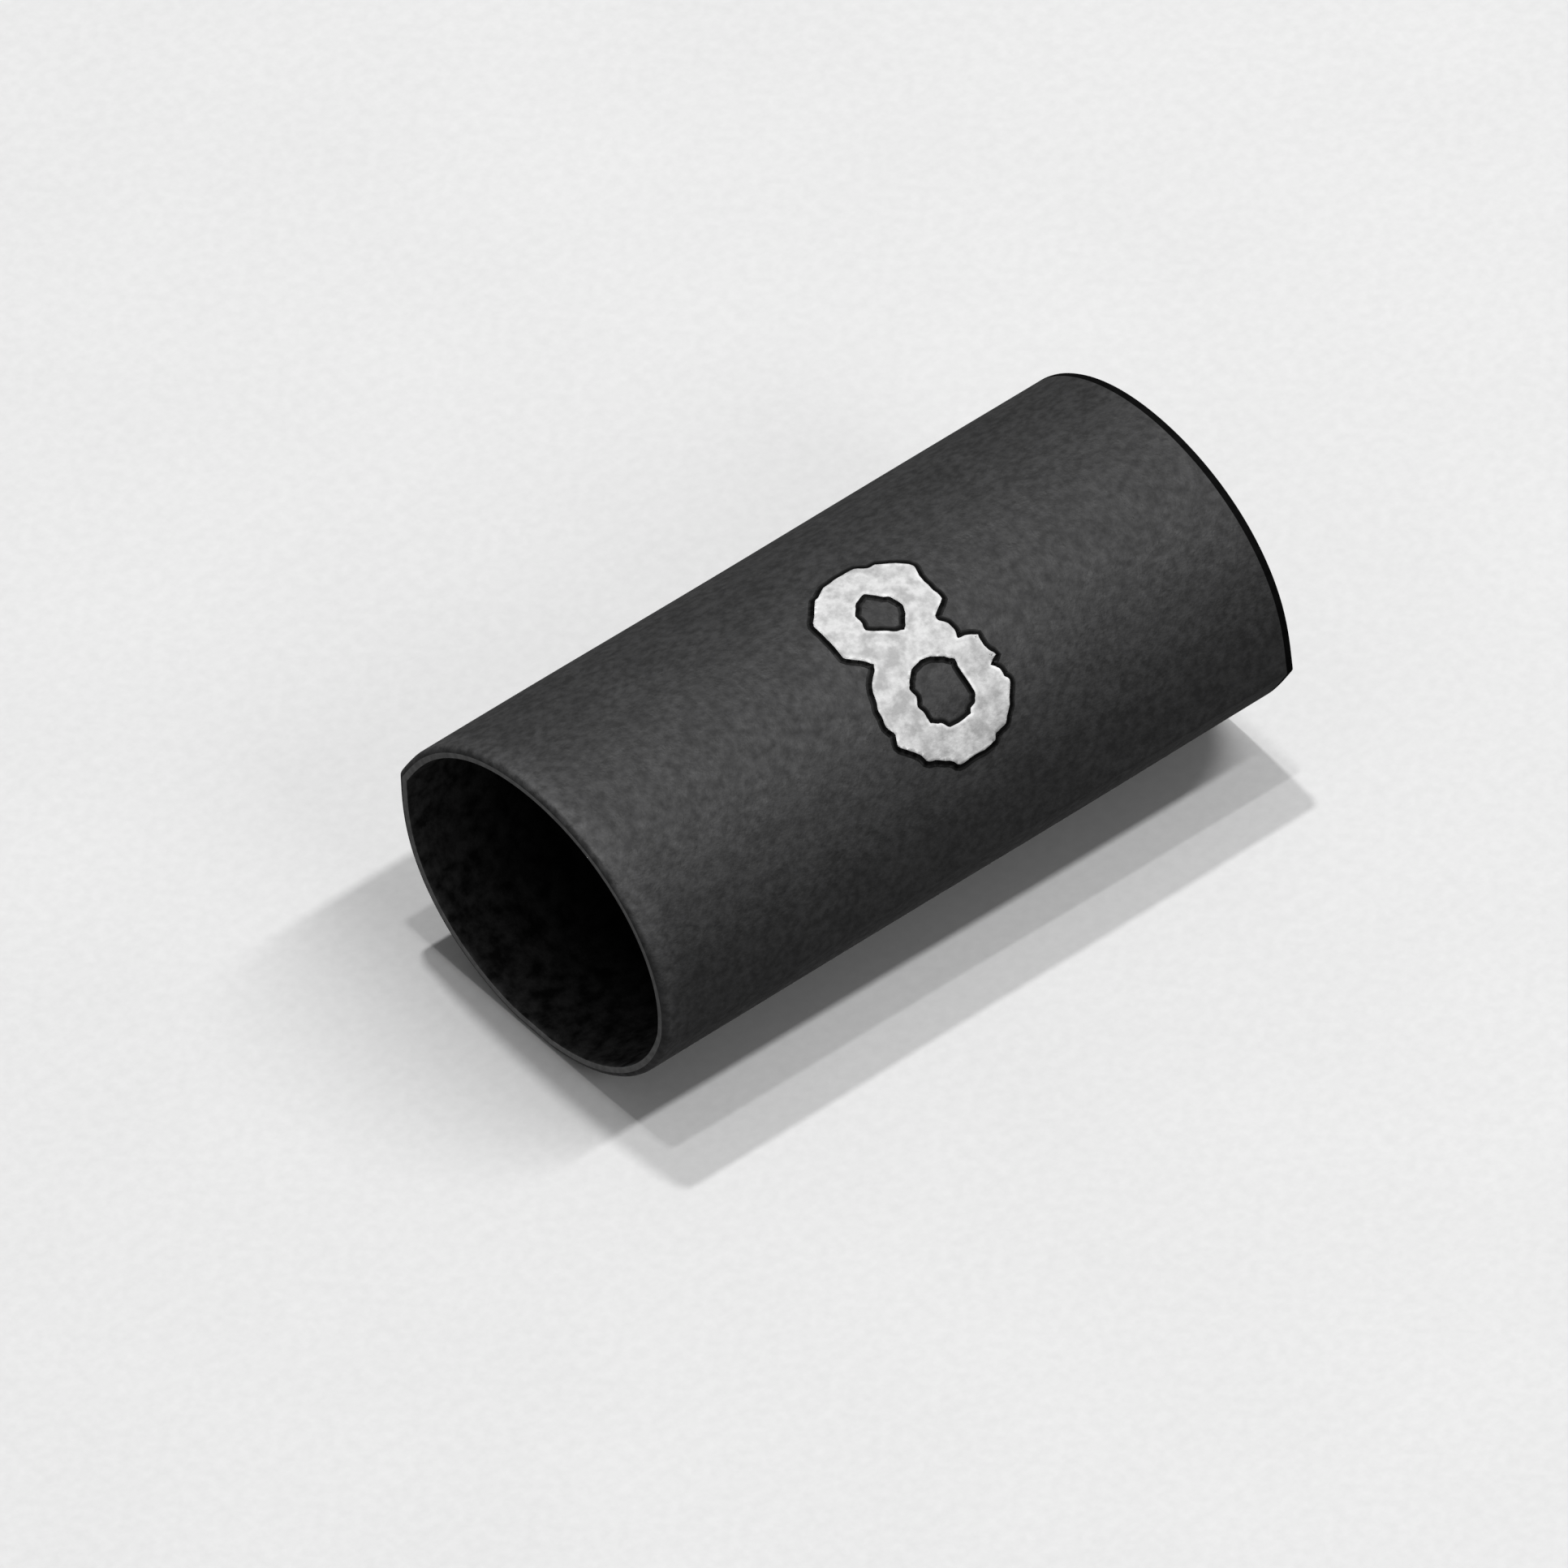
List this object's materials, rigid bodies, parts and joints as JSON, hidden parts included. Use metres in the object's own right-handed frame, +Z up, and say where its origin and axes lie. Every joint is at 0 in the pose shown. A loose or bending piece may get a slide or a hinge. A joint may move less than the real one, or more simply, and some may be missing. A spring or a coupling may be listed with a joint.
{
  "type": "cable marker sleeve",
  "caption": "Short length of matte black heat-shrink tubing, slightly oval and open at both ends, with a white figure 8 printed round its flank for marking a cable.",
  "frame": {"origin": "on the surface the sleeve lies on, under the middle of its length and width", "axes": "+X along the sleeve, +Y across the wide way of its oval section, +Z up; the figure is on the -Y side, just off the crown, and reads with +X to its right"},
  "size_m": [0.0254, 0.0126, 0.0108],
  "materials": {
    "sleeve_polyolefin": "matte, fine-grained extruded polyolefin",
    "marking_ink": "flat white ink film, slightly patchy, with ragged edges"
  },
  "bodies": {
    "root": {"sleeve": "sleeve_polyolefin", "printed_figure": "marking_ink"}
  },
  "joints": []
}
